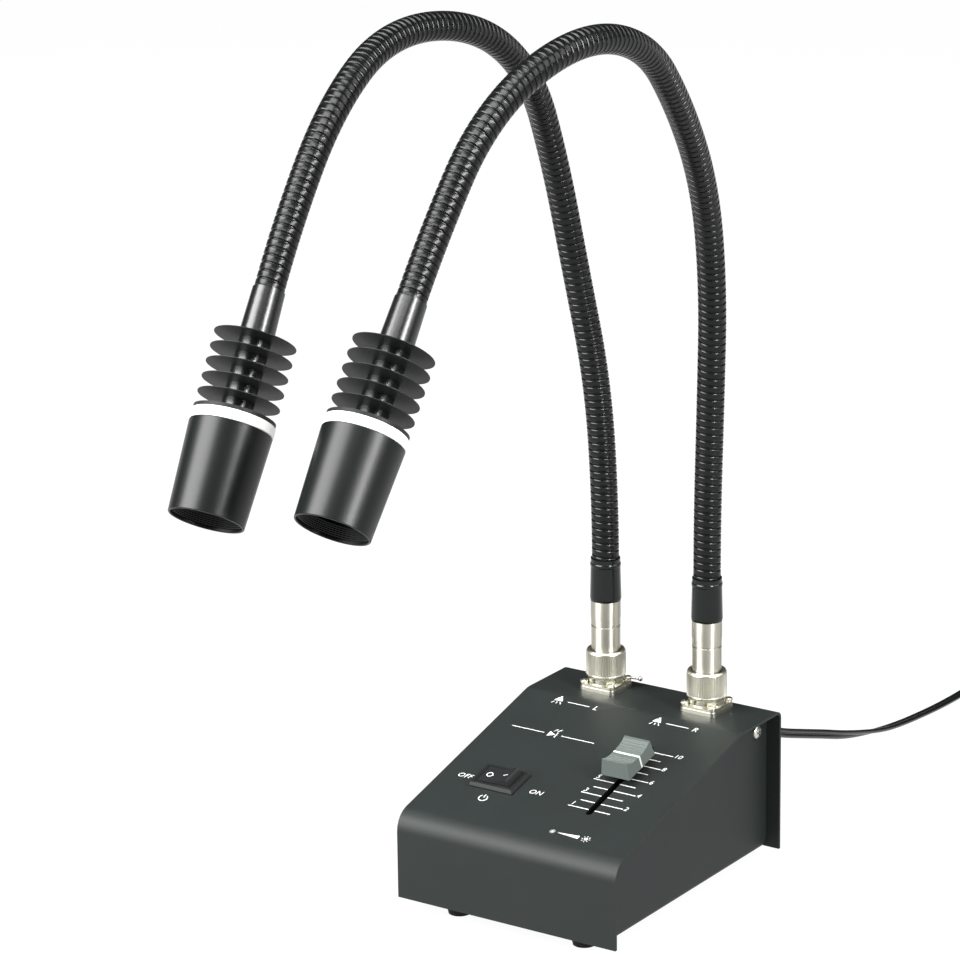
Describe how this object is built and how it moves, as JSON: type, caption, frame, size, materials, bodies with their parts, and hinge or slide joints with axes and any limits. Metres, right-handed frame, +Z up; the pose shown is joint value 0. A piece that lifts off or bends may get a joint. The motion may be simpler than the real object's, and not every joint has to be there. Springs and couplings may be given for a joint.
{
  "type": "twin gooseneck spot light",
  "caption": "Bench spot light: a sloped steel control box with a slider dimmer and rocker switch, and bendable arms that each carry a finned lamp head.",
  "frame": {"origin": "table level, under the middle of the control box", "axes": "+X to the right as seen from the front, +Y from the front face to the rear face, +Z up"},
  "size_m": [0.1569, 0.5989, 0.3842],
  "materials": {
    "panel_paint": "fine textured dark grey-black powder coat",
    "screw_plating": "bright zinc plating",
    "foot_rubber": "black moulded rubber",
    "switch_plastic": "black moulded plastic",
    "rocker_plastic": "semi-gloss black, white marks",
    "pot_steel": "stamped steel",
    "knob_plastic": "mid grey, satin, white pointer line",
    "board_laminate": "green solder mask",
    "pillar_brass": "turned brass",
    "nickel": "satin nickel plating",
    "contact_block_plastic": "black insulating plastic",
    "boot_rubber": "black, slightly glossy",
    "neck_gloss": "glossy black coating over wound steel",
    "head_satin": "satin black anodised",
    "fin_gloss": "black anodised, turned",
    "ring_white": "white moulded plastic",
    "led_board_white": "white solder mask with a yellow phosphor emitter",
    "lens_clear": "clear lens",
    "lamp_lead_sheath": "two-core sheathed lead",
    "cord_jacket": "satin black flat twin jacket",
    "tie_cloth": "black woven tie",
    "adapter_plastic": "fine textured black"
  },
  "bodies": {
    "base": {"housing_wrap": "panel_paint", "chassis": "panel_paint", "case_screws": "screw_plating", "feet": "foot_rubber", "foot_screws": "screw_plating", "switch_body": "switch_plastic", "slider_pot": "pot_steel", "driver_board": "board_laminate", "board_pillars": "pillar_brass", "cord_grommet": "cord_jacket", "left_socket": "nickel", "right_socket": "nickel", "socket_screws": "screw_plating", "contact_blocks": "contact_block_plastic", "left_plug": "nickel", "right_plug": "nickel", "left_boot": "boot_rubber", "right_boot": "boot_rubber", "left_neck_1": "neck_gloss", "right_neck_1": "neck_gloss", "left_lamp_lead": "lamp_lead_sheath", "right_lamp_lead": "lamp_lead_sheath", "cord_run": "cord_jacket", "cord_coil": "cord_jacket", "cord_tail": "cord_jacket", "coil_tie": "tie_cloth", "power_adapter": "adapter_plastic"},
    "rocker": {"switch_rocker": "rocker_plastic"},
    "slider": {"slider_lever": "switch_plastic", "slider_knob": "knob_plastic"},
    "left_nut": {"left_coupling_nut": "nickel"},
    "right_nut": {"right_coupling_nut": "nickel"},
    "left_neck_2": {"left_neck_2": "neck_gloss"},
    "left_neck_3": {"left_neck_3": "neck_gloss"},
    "left_neck_4": {"left_neck_4": "neck_gloss"},
    "left_neck_5": {"left_neck_5": "neck_gloss"},
    "left_neck_6": {"left_neck_6": "neck_gloss"},
    "left_neck_7": {"left_neck_7": "neck_gloss"},
    "left_neck_8": {"left_neck_8": "neck_gloss"},
    "left_head": {"left_neck_9": "neck_gloss", "left_sleeve": "head_satin", "left_heat_sink": "fin_gloss", "left_white_ring": "ring_white", "left_shade": "head_satin", "left_led_board": "led_board_white", "left_lens": "lens_clear"},
    "right_neck_2": {"right_neck_2": "neck_gloss"},
    "right_neck_3": {"right_neck_3": "neck_gloss"},
    "right_neck_4": {"right_neck_4": "neck_gloss"},
    "right_neck_5": {"right_neck_5": "neck_gloss"},
    "right_neck_6": {"right_neck_6": "neck_gloss"},
    "right_neck_7": {"right_neck_7": "neck_gloss"},
    "right_neck_8": {"right_neck_8": "neck_gloss"},
    "right_head": {"right_neck_9": "neck_gloss", "right_sleeve": "head_satin", "right_heat_sink": "fin_gloss", "right_white_ring": "ring_white", "right_shade": "head_satin", "right_led_board": "led_board_white", "right_lens": "lens_clear"}
  },
  "joints": [
    {"name": "left_arm_lean", "type": "hinge", "parent": "base", "child": "left_neck_2", "pos_m": [-0.02528, 0.05064, 0.15443], "axis": [-0.999, -0.0004, -0.0442], "range_deg": [-15, 15], "deforming": ["left_lamp_lead"]},
    {"name": "left_arm_sway", "type": "hinge", "parent": "left_neck_2", "child": "left_neck_3", "pos_m": [-0.02988, 0.04968, 0.21107], "axis": [0, 0.9959, 0.0904], "range_deg": [-15, 15]},
    {"name": "left_arm_lean_2", "type": "hinge", "parent": "left_neck_3", "child": "left_neck_4", "pos_m": [-0.03468, 0.03961, 0.26673], "axis": [-0.9997, 0.006, -0.0221], "range_deg": [-15, 15]},
    {"name": "left_arm_curl", "type": "hinge", "parent": "left_neck_4", "child": "left_neck_5", "pos_m": [-0.03207, 0.01776, 0.31892], "axis": [0.9934, 0.059, -0.0979], "range_deg": [-15, 15]},
    {"name": "left_lamp_aim", "type": "hinge", "parent": "left_neck_5", "child": "left_neck_6", "pos_m": [-0.02714, -0.02189, 0.35853], "axis": [0, 0.5057, 0.8627], "range_deg": [-15, 6]},
    {"name": "left_arm_curl_2", "type": "hinge", "parent": "left_neck_6", "child": "left_neck_7", "pos_m": [-0.02822, -0.07599, 0.37377], "axis": [0.9995, -0.0305, 0.0005], "range_deg": [-15, 15]},
    {"name": "left_lamp_aim_2", "type": "hinge", "parent": "left_neck_7", "child": "left_neck_8", "pos_m": [-0.02407, -0.13019, 0.35987], "axis": [0, -0.5104, 0.86], "range_deg": [-15, 6]},
    {"name": "left_arm_curl_3", "type": "hinge", "parent": "left_neck_8", "child": "left_head", "pos_m": [-0.02137, -0.16942, 0.31945], "axis": [0.9992, 0.0239, 0.0325], "range_deg": [-15, 15]},
    {"name": "right_arm_lean", "type": "hinge", "parent": "base", "child": "right_neck_2", "pos_m": [0.02542, 0.05078, 0.15444], "axis": [-1, 0.0001, 0.0049], "range_deg": [-15, 15], "deforming": ["right_lamp_lead"]},
    {"name": "right_arm_sway", "type": "hinge", "parent": "right_neck_2", "child": "right_neck_3", "pos_m": [0.02702, 0.05051, 0.21123], "axis": [0, 0.9964, 0.085], "range_deg": [-15, 15]},
    {"name": "right_arm_lean_2", "type": "hinge", "parent": "right_neck_3", "child": "right_neck_4", "pos_m": [0.03331, 0.0394, 0.26651], "axis": [-0.9912, -0.0422, 0.1258], "range_deg": [-15, 15]},
    {"name": "right_arm_curl", "type": "hinge", "parent": "right_neck_4", "child": "right_neck_5", "pos_m": [0.04158, 0.01327, 0.31602], "axis": [0.9879, 0.0954, -0.1226], "range_deg": [-15, 15]},
    {"name": "right_lamp_aim", "type": "hinge", "parent": "right_neck_5", "child": "right_neck_6", "pos_m": [0.04997, -0.02542, 0.35675], "axis": [0, 0.6436, 0.7653], "range_deg": [-6, 15]},
    {"name": "right_arm_curl_2", "type": "hinge", "parent": "right_neck_6", "child": "right_neck_7", "pos_m": [0.05353, -0.07698, 0.37817], "axis": [0.9999, -0.012, 0.001], "range_deg": [-15, 15]},
    {"name": "right_lamp_aim_2", "type": "hinge", "parent": "right_neck_7", "child": "right_neck_8", "pos_m": [0.04843, -0.13089, 0.36447], "axis": [0, -0.5308, 0.8475], "range_deg": [-6, 15]},
    {"name": "right_arm_curl_3", "type": "hinge", "parent": "right_neck_8", "child": "right_head", "pos_m": [0.04484, -0.17009, 0.32398], "axis": [0.9999, -0.0087, -0.0112], "range_deg": [-15, 15]},
    {"name": "rocker_tip", "type": "hinge", "parent": "base", "child": "rocker", "pos_m": [-0.0254, -0.03002, 0.05169], "axis": [0, 0.9666, 0.2564], "range_deg": [0, 22]},
    {"name": "slider_travel", "type": "slide", "parent": "base", "child": "slider", "axis": [0, 0.9666, 0.2564], "range_m": [-0.0297, 0.0153]},
    {"name": "left_nut_turn", "type": "hinge", "parent": "base", "child": "left_nut", "pos_m": [-0.02465, 0.0505, 0.08], "axis": [0, 0, 1], "range_deg": [0, 900]},
    {"name": "right_nut_turn", "type": "hinge", "parent": "base", "child": "right_nut", "pos_m": [0.02535, 0.0505, 0.08], "axis": [0, 0, 1], "range_deg": [0, 900]}
  ],
  "couplings": [
    {"joint": "left_arm_lean_2", "follows": "left_arm_lean", "ratio": 1},
    {"joint": "left_arm_curl_2", "follows": "left_arm_curl", "ratio": 1},
    {"joint": "left_lamp_aim_2", "follows": "left_lamp_aim", "ratio": 1},
    {"joint": "left_arm_curl_3", "follows": "left_arm_curl", "ratio": 1},
    {"joint": "right_arm_lean_2", "follows": "right_arm_lean", "ratio": 1},
    {"joint": "right_arm_curl_2", "follows": "right_arm_curl", "ratio": 1},
    {"joint": "right_lamp_aim_2", "follows": "right_lamp_aim", "ratio": 1},
    {"joint": "right_arm_curl_3", "follows": "right_arm_curl", "ratio": 1}
  ]
}
